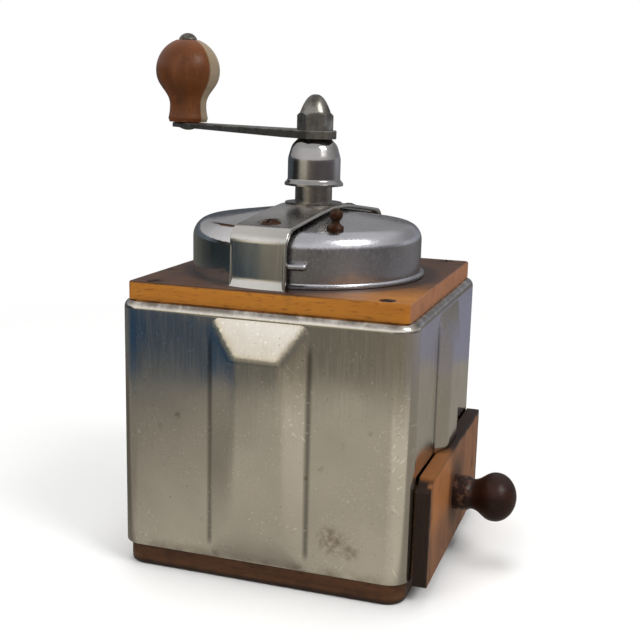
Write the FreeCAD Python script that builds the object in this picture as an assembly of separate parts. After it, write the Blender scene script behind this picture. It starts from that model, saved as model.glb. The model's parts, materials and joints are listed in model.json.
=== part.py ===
import FreeCAD, Part
import math
import os

from FreeCAD import Vector

# Hand crank coffee grinder: a wooden carcass in a pressed, ribbed sheet sleeve, a wooden top plate with a
# half-dome hopper, a turning half-dome door, a crank over a conical mill and a wooden drawer under it.
# Millimetres. The origin is the middle of the base's underside, +Z is up and the drawer faces -Y.

# Base plate, set in from the sleeve's face
BASE_INSET = 1.8
BASE_HEIGHT = 9.5
BASE_CORNER = 8.0
BASE_EDGE_ROUND = 1.6

# Pressed sheet sleeve round the carcass
SHELL_HALF = 61.3
SHELL_WALL = 0.8
SHELL_CORNER = 9.0
SHELL_LIFT = 0.1
SHELL_HEIGHT = 102.8
RIM_ROUND = 3.5
RIM_WIDTH = 10.3
RIB_BASE_HALF = 20.5
RIB_FACE_HALF = 10.0
RIB_RISE = 4.0
RIB_ROUND = 13.0
RIB_TOP_GAP = 3.6
RIB_TOP_SLOPE = 15.0
RIB_FOOT_GAP = 0.6
RIB_FOOT_SLOPE = 16.0

# Wooden boards inside the sleeve
BOARD_THICK = 10.0
BOARD_LAP = 1.5
BOARD_CHAMFER = 3.2

# Drawer mouth in the sleeve, and the drawer
MOUTH_MARGIN = 1.5
MOUTH_TOP = 51.0
DRAWER_SIDE_GAP = 0.8
DRAWER_FLOOR_GAP = 0.2
DRAWER_BACK_GAP = 0.8
DRAWER_WOOD = 6.0
DRAWER_SIDE_HEIGHT = 35.6
DRAWER_BOTTOM_THICK = 3.0
DRAWER_BOTTOM_LIFT = 2.0
FRONT_LAP = 1.0
FRONT_THICK = 5.5
FRONT_GAP = 0.7
FRONT_BOTTOM = 6.5
FRONT_HEIGHT = 43.8
FRONT_CLIP_WIDTH = 6.5
FRONT_CLIP_HEIGHT = 4.2
FRONT_ROUND = 1.6

# Drawer knob, turned, on a wood screw from inside
PULL_HEIGHT = 28.0
PULL_COLLAR = 7.4
PULL_COLLAR_LENGTH = 5.6
PULL_NECK = 6.4
PULL_NECK_HEIGHT = 7.6
PULL_BALL = 10.4
PULL_BALL_HEIGHT = 17.6
PULL_LENGTH = 26.4
PULL_SCREW = 2.0
PULL_SCREW_HEAD = 4.2
PULL_SCREW_HEAD_HEIGHT = 2.0
PULL_SCREW_DEPTH = 14.0

# Top plate, set in from the sleeve's face
PLATE_INSET = 3.3
PLATE_THICK = 7.3
PLATE_CORNER = 2.0
PLATE_EDGE_ROUND = 0.8
FEED_HOLE = 24.0

# Wood screws of the top plate and of the base
WOOD_SCREW = 1.75
WOOD_SCREW_HEAD = 3.2
WOOD_SCREW_HEAD_HEIGHT = 1.6
WOOD_SCREW_LENGTH = 18.0
PLATE_SCREW_INSET = 6.9
PLATE_SCREW_END = 4.0
BASE_SCREW_INSET = 5.5
BASE_SCREW_END = 16.0

# Hopper: a fixed half dome, and a smaller half dome that turns inside it as the door
SHEET = 0.8
HOPPER_RADIUS = 51.0
HOPPER_CORNER_HEIGHT = 21.7
HOPPER_HEIGHT = 27.3
HOPPER_CROWN = 13.0
HOPPER_SHOULDER = 8.0
HOPPER_TAB_DEPTH = 5.0
HOPPER_TAB_ANGLE = 11.0
HOPPER_TAB_PLACES = (20.0, 84.0, 148.0)
DOOR_INSET = 4.2
DOOR_LIP = 1.6
DOOR_LIP_ROUND = 1.0
DOOR_SHOULDER = 7.0
DOOR_GAP = 0.5
DOOR_FOOT_GAP = 0.3
DOOR_OVERLAP_ANGLE = 6.0
DOOR_RING = 13.0
DOOR_KNOB_INSET = 8.8
DOOR_KNOB_ANGLE = 212.0
DOOR_KNOB_FOOT = 3.4
DOOR_KNOB_WAIST = 1.7
DOOR_KNOB_BALL = 2.7
DOOR_KNOB_HEIGHT = 8.8
DOOR_KNOB_SHANK = 1.3
PEG_RADIUS = 1.5
PEG_STAND_OFF = 2.4
PEG_HEIGHT = 9.0
PEG_LENGTH = 8.2
PEG_GAP = 0.4

# Strap over the hopper, with the column that carries the shaft
STRAP_ANGLE = -6.0
STRAP_WIDTH = 24.0
STRAP_THICK = 1.4
STRAP_GAP = 0.1
STRAP_FLARE = 1.5
STRAP_FLARE_HEIGHT = 3.0
STRAP_FLARE_ROUND = 4.0
STRAP_COVER = 1.0
STRAP_SCREW_INSET = 11.0
STRAP_SCREW_HEAD = 4.3
STRAP_SCREW_HEAD_HEIGHT = 1.7
STRAP_SCREW_SHANK = 1.8
STRAP_DIMPLE = 5.4
STRAP_DIMPLE_DEPTH = 0.6
SLOT_WIDTH = 1.0
SLOT_DEPTH = 0.8
COLUMN_RADIUS = 7.9
COLUMN_HEIGHT = 17.5
COLUMN_FLANGE = 12.1
COLUMN_FLANGE_THICK = 0.8
COLUMN_RIM_ROUND = 0.6
SPIGOT_RADIUS = 7.0
SPIGOT_THREAD = 6.0
SPIGOT_NUT_FLATS = 19.0
SPIGOT_NUT_HEIGHT = 4.0

# Crank
SHAFT_RADIUS = 4.5
SHAFT_JOURNAL = 4.0
SHAFT_SQUARE = 6.2
SHAFT_STUD = 3.0
BELL_GAP = 0.3
BELL_DROP = 9.6
BELL_HUB_HEIGHT = 9.7
BELL_FLANGE = 12.5
BELL_FLANGE_THICK = 1.0
BELL_WALL = 11.2
BELL_TOP = 6.9
BELL_SKIN = 1.4
BELL_INNER_ROUND = 1.0
BELL_FLANGE_ROUND = 0.3
BELL_WAIST_RISE = 1.4
BELL_WAIST_ROUND = 1.5
BELL_SHOULDER_ROUND = 9.0
BELL_CROWN_ROUND = 6.0
ARM_ANGLE = 60.5
ARM_LENGTH = 92.0
ARM_THICK = 3.4
ARM_TIP_THICK = 2.2
ARM_HUB_HALF = 8.65
ARM_HUB_END = 10.7
ARM_HUB_CLIP = 6.6
ARM_TIP_HALF = 6.2
ARM_TIP_END = 8.6
ARM_TIP_CLIP = 4.0
ARM_EDGE_ROUND = 0.5
ARM_SIDE_ROUND = 30.0
ARM_TIP_ROUND = 3.0
NUT_FLATS = 13.3
NUT_HEX_HEIGHT = 7.4
NUT_CAP_HEIGHT = 7.4
NUT_CAP_RADIUS = 6.4
NUT_TIP_ROUND = 3.4
NUT_ANGLE = 48.5
NUT_BORE_DEPTH = 8.6

# Crank knob, turning on a riveted spindle
KNOB_BALL = 15.2
KNOB_BALL_HEIGHT = 24.1
KNOB_NECK = 8.7
KNOB_NECK_HEIGHT = 7.8
KNOB_FOOT = 9.5
KNOB_FOOT_HEIGHT = 1.8
KNOB_TOP = 5.4
KNOB_PLAY = 0.3
KNOB_FIT = 0.08
SPINDLE_RADIUS = 3.0
SPINDLE_HEAD = 4.4
SPINDLE_HEAD_HEIGHT = 3.0
SPINDLE_PEEN_HEIGHT = 1.3

# Mill under the top plate
MILL_FLANGE = 40.0
MILL_FLANGE_THICK = 6.0
MILL_BODY = 27.0
MILL_HEIGHT = 42.0
MILL_EDGE_ROUND = 0.8
MILL_THROAT_DEPTH = 14.0
MILL_TEETH = 16
MILL_TOP_ROOT = 23.5
MILL_TOP_TIP = 21.0
MILL_EXIT_ROOT = 18.4
MILL_EXIT_TIP = 16.4
MILL_TWIST = 16.0
BURR_TEETH = 11
BURR_HEIGHT = 27.0
BURR_TOP_TIP = 9.6
BURR_TOP_ROOT = 6.6
BURR_EXIT_TIP = 15.6
BURR_EXIT_ROOT = 13.4
BURR_TWIST = 34.0
BURR_NUT_FLATS = 13.0
BURR_NUT_HEIGHT = 5.0
BRIDGE_WIDTH = 16.0
BRIDGE_THICK = 3.0
BRIDGE_REACH = 31.0
BRIDGE_DROP = 12.0
BRIDGE_BUSH = 8.0
BRIDGE_BUSH_HEIGHT = 7.0
MILL_SCREW = 2.2
MILL_SCREW_HEAD = 4.0
MILL_SCREW_HEAD_HEIGHT = 2.4
MILL_SCREW_CIRCLE = 36.0
MILL_SCREW_BITE = 5.0

# Clearances shared by fitted pieces
RUNNING_FIT = 0.05
SEAT_FIT = 0.02
SCREW_FIT = 0.05
SLOT_FIT = 0.1

# Levels and faces that follow from the sizes above
SHELL_BOTTOM = BASE_HEIGHT + SHELL_LIFT
CASE_TOP = SHELL_BOTTOM + SHELL_HEIGHT
BOARD_TOP = CASE_TOP - SHELL_WALL
BOARD_FACE = SHELL_HALF - SHELL_WALL
BOARD_INNER = BOARD_FACE - BOARD_THICK
BOARD_HALF_LENGTH = BOARD_INNER + BOARD_LAP
BASE_HALF = SHELL_HALF - BASE_INSET
PLATE_HALF = SHELL_HALF - PLATE_INSET
PLATE_SCREW_X = BOARD_FACE - PLATE_SCREW_INSET
PLATE_SCREW_Y = BOARD_HALF_LENGTH - PLATE_SCREW_END
BASE_SCREW_X = BOARD_FACE - BASE_SCREW_INSET
BASE_SCREW_Y = BOARD_HALF_LENGTH - BASE_SCREW_END
MOUTH_HALF = BOARD_INNER + MOUTH_MARGIN
FRONT_HALF = MOUTH_HALF + FRONT_LAP
DOOR_RADIUS = HOPPER_RADIUS - DOOR_INSET
DOOR_KNOB_RADIUS = DOOR_RADIUS - DOOR_KNOB_INSET
PEG_REACH = DOOR_RADIUS + PEG_STAND_OFF
STRAP_SCREW_RADIUS = HOPPER_RADIUS - STRAP_SCREW_INSET
PLATE_TOP = CASE_TOP + PLATE_THICK
CROWN_TOP = PLATE_TOP + HOPPER_HEIGHT
CONE_SLOPE = (HOPPER_HEIGHT - HOPPER_CORNER_HEIGHT) / (HOPPER_RADIUS - HOPPER_CROWN)
CONE_ANGLE = math.degrees(math.atan(CONE_SLOPE))
STRAP_TOP = CROWN_TOP + STRAP_GAP + STRAP_THICK
COLUMN_TOP = STRAP_TOP + COLUMN_HEIGHT
DOOR_CROWN = CROWN_TOP - SHEET - DOOR_GAP
SPIGOT_STEP = DOOR_CROWN - SHEET - DOOR_GAP
BELL_BOTTOM = COLUMN_TOP - BELL_DROP
HUB_BOTTOM = COLUMN_TOP + BELL_GAP
ARM_BOTTOM = HUB_BOTTOM + BELL_HUB_HEIGHT
ARM_TOP = ARM_BOTTOM + ARM_THICK
MILL_TOP = CASE_TOP
MILL_BOTTOM = MILL_TOP - MILL_HEIGHT
BURR_TOP = MILL_BOTTOM + BURR_HEIGHT
BRIDGE_FOOT = MILL_TOP - MILL_FLANGE_THICK
BRIDGE_TOP = MILL_BOTTOM - BRIDGE_DROP
BURR_BOTTOM = MILL_BOTTOM
STOP_ANGLE = math.degrees(math.asin((STRAP_WIDTH / 2 - STRAP_COVER) / HOPPER_RADIUS))
FRONT_BACK = -(SHELL_HALF + FRONT_GAP)
FRONT_FACE = FRONT_BACK - FRONT_THICK
DRAWER_HALF = BOARD_INNER - DRAWER_SIDE_GAP
DRAWER_END = BOARD_INNER - DRAWER_BACK_GAP
DRAWER_FLOOR = BASE_HEIGHT + DRAWER_FLOOR_GAP
DRAWER_BOTTOM_TOP = DRAWER_FLOOR + DRAWER_BOTTOM_LIFT + DRAWER_BOTTOM_THICK
DRAWER_TOP = DRAWER_FLOOR + DRAWER_SIDE_HEIGHT

# Shares of a curve's reach that make its ends round
ROUND_PULL = 0.55
SWELL_NECK = 0.42
SWELL_BALL = 0.5

UP = Vector(0, 0, 1)
ORIGIN = Vector(0, 0, 0)


def upright(u, v):
    return Vector(u, 0, v)


def flat(u, v):
    return Vector(u, v, 0)


def rounded_wire(points, place):
    """A closed outline of straight runs; a point's third value rounds that corner."""
    count = len(points)
    starts, ends, middles = [], [], []
    for index, point in enumerate(points):
        corner = place(point[0], point[1])
        radius = point[2] if len(point) > 2 else 0
        if radius <= 0:
            starts.append(corner)
            ends.append(corner)
            middles.append(None)
            continue
        before = points[index - 1]
        after = points[(index + 1) % count]
        back = (place(before[0], before[1]) - corner).normalize()
        on = (place(after[0], after[1]) - corner).normalize()
        half = back.getAngle(on) / 2
        middle_way = (back + on).normalize()
        reach = radius / math.tan(half)
        starts.append(corner + back * reach)
        ends.append(corner + on * reach)
        middles.append(corner + middle_way * (radius / math.sin(half) - radius))
    edges = []
    for index in range(count):
        if middles[index] is not None:
            edges.append(Part.Arc(starts[index], middles[index], ends[index]).toShape())
        following = starts[(index + 1) % count]
        if ends[index].distanceToPoint(following) > 1e-6:
            edges.append(Part.LineSegment(ends[index], following).toShape())
    return Part.Wire(edges)


def revolve(points, start=0, sweep=360):
    face = Part.Face(rounded_wire(points, upright))
    solid = face.revolve(ORIGIN, UP, sweep)
    return turned(solid, start)


def prism(points, bottom, top):
    face = Part.Face(rounded_wire(points, flat))
    face.translate(Vector(0, 0, bottom))
    return face.extrude(Vector(0, 0, top - bottom))


def turned(shape, degrees):
    copy = shape.copy()
    copy.rotate(ORIGIN, UP, degrees)
    return copy


def moved(shape, x, y, z):
    copy = shape.copy()
    copy.translate(Vector(x, y, z))
    return copy


def box(x0, x1, y0, y1, z0, z1):
    return Part.makeBox(x1 - x0, y1 - y0, z1 - z0, Vector(x0, y0, z0))


def cylinder(radius, bottom, top, x=0, y=0):
    return Part.makeCylinder(radius, top - bottom, Vector(x, y, bottom))


def square(half, corner):
    return [(half, half, corner), (-half, half, corner), (-half, -half, corner), (half, -half, corner)]


def hexagon(flats):
    corner = flats / math.sqrt(3)
    turns = [math.radians(60 * step) for step in range(6)]
    return [(corner * math.cos(turn), corner * math.sin(turn)) for turn in turns]


def edges_at_height(shape, height):
    return [edge for edge in shape.Edges
            if abs(edge.BoundBox.ZMin - height) < 1e-6 and abs(edge.BoundBox.ZMax - height) < 1e-6]


def offset_path(path, distance):
    """A sheet's other side: each run moves to its left, and the rounds follow."""
    ways = []
    for first, second in zip(path, path[1:]):
        length = math.hypot(second[0] - first[0], second[1] - first[1])
        ways.append(((second[0] - first[0]) / length, (second[1] - first[1]) / length))
    moved_path = []
    for index, point in enumerate(path):
        before = ways[max(index - 1, 0)]
        after = ways[min(index, len(ways) - 1)]
        share = distance / (1 + before[0] * after[0] + before[1] * after[1])
        left_turn = before[0] * after[1] - before[1] * after[0]
        radius = point[2] if len(point) > 2 else 0
        if radius > 0:
            radius = radius - math.copysign(distance, left_turn * distance) * math.copysign(1, distance)
        moved_path.append((point[0] - (before[1] + after[1]) * share,
                           point[1] + (before[0] + after[0]) * share, radius))
    return moved_path


def sheet_profile(path, near, far):
    return offset_path(path, near) + offset_path(path, far)[::-1]


def bezier(poles):
    curve = Part.BezierCurve()
    curve.setPoles([upright(*pole) for pole in poles])
    return curve.toShape()


def swell(neck, neck_height, ball, ball_height):
    """The hollow line of a turned knob from its waist out to its widest ring."""
    reach = ball_height - neck_height
    return bezier([(neck, neck_height), (neck, neck_height + SWELL_NECK * reach),
                   (ball, ball_height - SWELL_BALL * reach), (ball, ball_height)])


def turned_piece(curves, runs):
    edges = list(curves)
    for first, second in zip(runs, runs[1:]):
        edges.append(Part.LineSegment(upright(*first), upright(*second)).toShape())
    return Part.Face(Part.Wire(Part.sortEdges(edges)[0])).revolve(ORIGIN, UP, 360)


def on_cone(shape, radius, height, angle):
    """Stands a piece made at the origin square on the hopper's cone."""
    copy = shape.copy()
    copy.rotate(ORIGIN, Vector(0, 1, 0), CONE_ANGLE)
    copy.translate(Vector(radius, 0, height))
    return turned(copy, angle)


def cone_height(radius):
    return CROWN_TOP - (radius - HOPPER_CROWN) * CONE_SLOPE


def dome_head(radius, height, bottom):
    ball = (radius ** 2 + height ** 2) / (2 * height)
    sphere = Part.makeSphere(ball, Vector(0, 0, bottom + height - ball))
    return sphere.common(cylinder(radius + 1, bottom, bottom + height + 1))


# Case

def make_base_plate():
    plate = prism(square(BASE_HALF, BASE_CORNER), 0, BASE_HEIGHT)
    plate = plate.makeFillet(BASE_EDGE_ROUND, edges_at_height(plate, 0))
    for x, y in base_screw_places():
        plate = plate.cut(cylinder(WOOD_SCREW + SCREW_FIT, 0, BASE_HEIGHT, x, y))
        plate = plate.cut(cylinder(WOOD_SCREW_HEAD + SCREW_FIT, 0, 2 * WOOD_SCREW_HEAD_HEIGHT, x, y))
    return plate


def base_screw_places():
    return [(x, y) for x in (-BASE_SCREW_X, BASE_SCREW_X) for y in (-BASE_SCREW_Y, BASE_SCREW_Y)]


def plate_screw_places():
    return [(x, y) for x in (-PLATE_SCREW_X, PLATE_SCREW_X) for y in (-PLATE_SCREW_Y, PLATE_SCREW_Y)]


def rib():
    """The raised band on one side of the sleeve: a face with sloping flanks, top and foot."""
    top = CASE_TOP - RIB_TOP_GAP
    foot = SHELL_BOTTOM + RIB_FOOT_GAP
    levels = [(SHELL_HALF, RIB_BASE_HALF, foot, top),
              (SHELL_HALF + RIB_RISE, RIB_FACE_HALF, foot + RIB_FOOT_SLOPE, top - RIB_TOP_SLOPE)]
    wires = []
    for x, half, low, high in levels:
        corners = [Vector(x, -half, low), Vector(x, half, low), Vector(x, half, high), Vector(x, -half, high)]
        wires.append(Part.makePolygon(corners + corners[:1]))
    band = Part.makeLoft(wires, True, True)
    raised = [edge for edge in band.Edges if edge.BoundBox.XMax > SHELL_HALF + RIB_RISE / 2]
    return band.makeFillet(RIB_ROUND, raised)


def sleeve_block(inset):
    block = prism(square(SHELL_HALF - inset, SHELL_CORNER - inset), SHELL_BOTTOM, CASE_TOP - inset)
    block = block.makeFillet(RIM_ROUND - inset, edges_at_height(block, CASE_TOP - inset))
    band = moved(rib(), -inset, 0, 0)
    return block.fuse([turned(band, quarter * 90) for quarter in range(4)])


def make_body_shell():
    shell = sleeve_block(0).cut(sleeve_block(SHELL_WALL))
    hole = SHELL_HALF - RIM_WIDTH
    shell = shell.cut(prism(square(hole, SHELL_CORNER), BOARD_TOP - 1, CASE_TOP + 1))
    shell = shell.cut(box(-MOUTH_HALF, MOUTH_HALF, -2 * SHELL_HALF, -BOARD_INNER, 0, MOUTH_TOP))
    for x, y in plate_screw_places():
        shell = shell.cut(cylinder(WOOD_SCREW + SCREW_FIT, BOARD_TOP - 1, CASE_TOP + 1, x, y))
    return shell.removeSplitter()


def board(x0, x1, bottom):
    """A board along Y-, turned later to its side, with its top outer edge taken off under the rim."""
    wood = box(x0, x1, BOARD_INNER, BOARD_FACE, bottom, BOARD_TOP)
    outer = [edge for edge in edges_at_height(wood, BOARD_TOP)
             if edge.BoundBox.YMin > BOARD_FACE - 1e-6]
    return wood.makeChamfer(BOARD_CHAMFER, outer)


def make_case_side(quarter):
    wood = turned(board(-BOARD_HALF_LENGTH, BOARD_HALF_LENGTH, BASE_HEIGHT), quarter * 90)
    for x, y in plate_screw_places():
        depth = PLATE_TOP - WOOD_SCREW_LENGTH
        wood = wood.cut(cylinder(WOOD_SCREW + SCREW_FIT, depth, PLATE_TOP, x, y))
    for x, y in base_screw_places():
        depth = WOOD_SCREW_HEAD_HEIGHT + WOOD_SCREW_LENGTH
        wood = wood.cut(cylinder(WOOD_SCREW + SCREW_FIT, 0, depth, x, y))
    return wood


def make_case_back():
    return board(-BOARD_INNER, BOARD_INNER, BASE_HEIGHT)


def make_case_front_rail():
    return turned(board(-BOARD_INNER, BOARD_INNER, MOUTH_TOP), 180)


def hopper_tabs(fit):
    tabs = []
    fit_angle = math.degrees(fit / HOPPER_RADIUS)
    for place in HOPPER_TAB_PLACES:
        ring = [(HOPPER_RADIUS - SHEET - fit, PLATE_TOP - HOPPER_TAB_DEPTH - fit), (HOPPER_RADIUS + fit,
                PLATE_TOP - HOPPER_TAB_DEPTH - fit), (HOPPER_RADIUS + fit, PLATE_TOP),
                (HOPPER_RADIUS - SHEET - fit, PLATE_TOP)]
        sweep = HOPPER_TAB_ANGLE + 2 * fit_angle
        tabs.append(revolve(ring, STRAP_ANGLE + place - sweep / 2, sweep))
    return tabs


def make_top_plate():
    plate = prism(square(PLATE_HALF, PLATE_CORNER), CASE_TOP, PLATE_TOP)
    plate = plate.makeFillet(PLATE_EDGE_ROUND, edges_at_height(plate, PLATE_TOP))
    plate = plate.cut(cylinder(FEED_HOLE, CASE_TOP - 1, PLATE_TOP + 1))
    plate = plate.cut(hopper_tabs(SLOT_FIT))
    for x, y in plate_screw_places():
        plate = plate.cut(cylinder(WOOD_SCREW + SCREW_FIT, CASE_TOP - 1, PLATE_TOP + 1, x, y))
        seat = PLATE_TOP - WOOD_SCREW_HEAD_HEIGHT
        plate = plate.cut(cylinder(WOOD_SCREW_HEAD + SCREW_FIT, seat, PLATE_TOP + 1, x, y))
    for x, y in mill_screw_places():
        plate = plate.cut(cylinder(MILL_SCREW + SCREW_FIT, CASE_TOP - 1, CASE_TOP + MILL_SCREW_BITE, x, y))
    return plate


def wood_screw():
    """A slotted wood screw with its head's top at the origin."""
    screw = cylinder(WOOD_SCREW_HEAD, -WOOD_SCREW_HEAD_HEIGHT, 0)
    screw = screw.fuse(cylinder(WOOD_SCREW, -WOOD_SCREW_LENGTH, -WOOD_SCREW_HEAD_HEIGHT))
    return screw.cut(screw_slot(WOOD_SCREW_HEAD))


def screw_slot(radius):
    return box(-2 * radius, 2 * radius, -SLOT_WIDTH / 2, SLOT_WIDTH / 2, -SLOT_DEPTH, SLOT_DEPTH)


def make_top_plate_screws():
    screws = [moved(turned(wood_screw(), 35 * x + 20 * y), x, y, PLATE_TOP) for x, y in plate_screw_places()]
    return Part.makeCompound(screws)


def make_base_screws():
    screw = wood_screw()
    screw.rotate(ORIGIN, Vector(1, 0, 0), 180)
    return Part.makeCompound([moved(screw, x, y, WOOD_SCREW_HEAD_HEIGHT) for x, y in base_screw_places()])


# Hopper, strap and column

def hopper_path():
    return [(HOPPER_RADIUS, PLATE_TOP), (HOPPER_RADIUS, PLATE_TOP + HOPPER_CORNER_HEIGHT, HOPPER_SHOULDER),
            (HOPPER_CROWN, CROWN_TOP), (SPIGOT_RADIUS + SEAT_FIT, CROWN_TOP)]


def strap_screw_spots(shape):
    height = cone_height(STRAP_SCREW_RADIUS)
    return [on_cone(shape, STRAP_SCREW_RADIUS, height, STRAP_ANGLE + turn) for turn in (0, 180)]


def strap_seat():
    return STRAP_GAP + STRAP_THICK - STRAP_DIMPLE_DEPTH


def make_hopper_shell():
    sweep = 180 + 2 * STOP_ANGLE
    shell = revolve(sheet_profile(hopper_path(), 0, SHEET), STRAP_ANGLE - STOP_ANGLE, sweep)
    shell = shell.fuse(hopper_tabs(0)).removeSplitter()
    return shell.cut(strap_screw_spots(cylinder(STRAP_SCREW_SHANK + SCREW_FIT, -3, 3)))


def make_bridge_strap():
    path = hopper_path()
    foot = [(HOPPER_RADIUS + STRAP_FLARE, PLATE_TOP - STRAP_THICK),
            (HOPPER_RADIUS, PLATE_TOP + STRAP_FLARE_HEIGHT, STRAP_FLARE_ROUND)]
    band = revolve(sheet_profile(foot + path[1:], -STRAP_GAP, -STRAP_GAP - STRAP_THICK))
    reach = 2 * HOPPER_RADIUS
    slab = box(-reach, reach, -STRAP_WIDTH / 2, STRAP_WIDTH / 2, PLATE_TOP, PLATE_TOP + reach)
    band = band.common(turned(slab, STRAP_ANGLE))
    band = band.cut(strap_screw_spots(cylinder(STRAP_SCREW_SHANK + SCREW_FIT, -3, 3)))
    return band.cut(strap_screw_spots(cylinder(STRAP_DIMPLE, strap_seat(), STRAP_THICK + 3)))


def make_strap_screws():
    seat = strap_seat()
    screw = dome_head(STRAP_SCREW_HEAD, STRAP_SCREW_HEAD_HEIGHT, seat)
    screw = screw.cut(moved(screw_slot(STRAP_SCREW_HEAD), 0, 0, seat + STRAP_SCREW_HEAD_HEIGHT))
    screw = screw.fuse(cylinder(STRAP_SCREW_SHANK, -SHEET, seat))
    return Part.makeCompound(strap_screw_spots(screw))


def make_bearing_column():
    bore = SHAFT_RADIUS + RUNNING_FIT
    foot = SPIGOT_STEP - SPIGOT_NUT_HEIGHT
    return revolve([(bore, foot), (SPIGOT_THREAD, foot), (SPIGOT_THREAD, SPIGOT_STEP),
                    (SPIGOT_RADIUS, SPIGOT_STEP), (SPIGOT_RADIUS, STRAP_TOP), (COLUMN_FLANGE, STRAP_TOP),
                    (COLUMN_FLANGE, STRAP_TOP + COLUMN_FLANGE_THICK),
                    (COLUMN_RADIUS, STRAP_TOP + COLUMN_FLANGE_THICK),
                    (COLUMN_RADIUS, COLUMN_TOP, COLUMN_RIM_ROUND),
                    (bore, COLUMN_TOP)])


def make_column_nut():
    nut = prism(hexagon(SPIGOT_NUT_FLATS), SPIGOT_STEP - SPIGOT_NUT_HEIGHT, SPIGOT_STEP)
    return nut.cut(cylinder(SPIGOT_THREAD + SEAT_FIT, 0, CROWN_TOP))


# Turning half-dome door

def door_path():
    drop = CROWN_TOP - DOOR_CROWN
    lip = PLATE_TOP + DOOR_FOOT_GAP + SHEET
    return [(DOOR_RADIUS + DOOR_LIP, lip), (DOOR_RADIUS, lip, DOOR_LIP_ROUND),
            (DOOR_RADIUS, cone_height(DOOR_RADIUS) - drop, DOOR_SHOULDER), (HOPPER_CROWN, DOOR_CROWN),
            (SPIGOT_RADIUS + RUNNING_FIT, DOOR_CROWN)]


def door_start():
    return STRAP_ANGLE + 180 + STOP_ANGLE - DOOR_OVERLAP_ANGLE


def make_hopper_door():
    sweep = 180 - 2 * STOP_ANGLE + 2 * DOOR_OVERLAP_ANGLE
    door = revolve(sheet_profile(door_path(), 0, SHEET), door_start(), sweep)
    bore = SPIGOT_RADIUS + RUNNING_FIT
    ring = revolve([(bore, DOOR_CROWN - SHEET), (DOOR_RING, DOOR_CROWN - SHEET), (DOOR_RING, DOOR_CROWN),
                    (bore, DOOR_CROWN)])
    door = door.fuse(ring).removeSplitter()
    return door.cut(door_knob_spot(cylinder(DOOR_KNOB_SHANK + SEAT_FIT, -3, 3)))


def door_knob_spot(shape):
    height = cone_height(DOOR_KNOB_RADIUS) - (CROWN_TOP - DOOR_CROWN)
    return on_cone(shape, DOOR_KNOB_RADIUS, height, DOOR_KNOB_ANGLE)


def make_door_knob():
    ball_middle = DOOR_KNOB_HEIGHT - DOOR_KNOB_BALL
    foot_top = 0.16 * DOOR_KNOB_HEIGHT
    knob = revolve([(0, -SHEET), (DOOR_KNOB_SHANK, -SHEET), (DOOR_KNOB_SHANK, 0), (DOOR_KNOB_FOOT, 0),
                    (DOOR_KNOB_FOOT, foot_top, 0.5), (DOOR_KNOB_WAIST, foot_top + 1.2, 0.8),
                    (DOOR_KNOB_WAIST, ball_middle), (0, ball_middle)])
    return door_knob_spot(knob.fuse(Part.makeSphere(DOOR_KNOB_BALL, Vector(0, 0, ball_middle))))


def make_door_stop_peg():
    """A round-ended peg along the door's wall that meets the fixed half's edge when the door is shut."""
    straight = PEG_LENGTH - PEG_RADIUS
    peg = Part.makeCylinder(PEG_RADIUS, straight, Vector(PEG_REACH, 0, 0), Vector(0, 1, 0))
    peg = peg.fuse(Part.makeSphere(PEG_RADIUS, Vector(PEG_REACH, straight, 0)))
    foot = box(DOOR_RADIUS - 2, PEG_REACH, 0, straight, -PEG_RADIUS, PEG_RADIUS)
    peg = peg.fuse(foot).removeSplitter().cut(cylinder(DOOR_RADIUS + SEAT_FIT, -PEG_LENGTH, PEG_LENGTH))
    gap_angle = math.degrees(PEG_GAP / PEG_REACH)
    return moved(turned(peg, STRAP_ANGLE + 180 + STOP_ANGLE + gap_angle), 0, 0, PLATE_TOP + PEG_HEIGHT)


# Crank

def make_crank_shaft():
    low = BRIDGE_TOP - BRIDGE_BUSH_HEIGHT - 2
    rod = cylinder(SHAFT_JOURNAL, low, BURR_BOTTOM).fuse(cylinder(SHAFT_RADIUS, BURR_BOTTOM, ARM_BOTTOM))
    side = SHAFT_SQUARE / 2
    rod = rod.fuse(turned(box(-side, side, -side, side, ARM_BOTTOM, ARM_TOP), ARM_ANGLE))
    return rod.fuse(cylinder(SHAFT_STUD, ARM_TOP, ARM_TOP + NUT_BORE_DEPTH - 0.6))


def make_bell_cap():
    bore = SHAFT_RADIUS + SEAT_FIT
    inner = BELL_WALL - BELL_SKIN
    waist = BELL_BOTTOM + BELL_FLANGE_THICK + BELL_WAIST_RISE
    height = ARM_BOTTOM - BELL_BOTTOM
    return revolve([(bore, ARM_BOTTOM), (bore, HUB_BOTTOM), (inner, HUB_BOTTOM, BELL_INNER_ROUND),
                    (inner, BELL_BOTTOM),
                    (BELL_FLANGE, BELL_BOTTOM),
                    (BELL_FLANGE, BELL_BOTTOM + BELL_FLANGE_THICK, BELL_FLANGE_ROUND),
                    (BELL_WALL, waist, BELL_WAIST_ROUND),
                    (BELL_WALL, BELL_BOTTOM + 0.58 * height, BELL_SHOULDER_ROUND),
                    (BELL_WALL * 0.63 + BELL_TOP * 0.37, BELL_BOTTOM + 0.86 * height, BELL_CROWN_ROUND),
                    (BELL_TOP, ARM_BOTTOM)])


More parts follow.
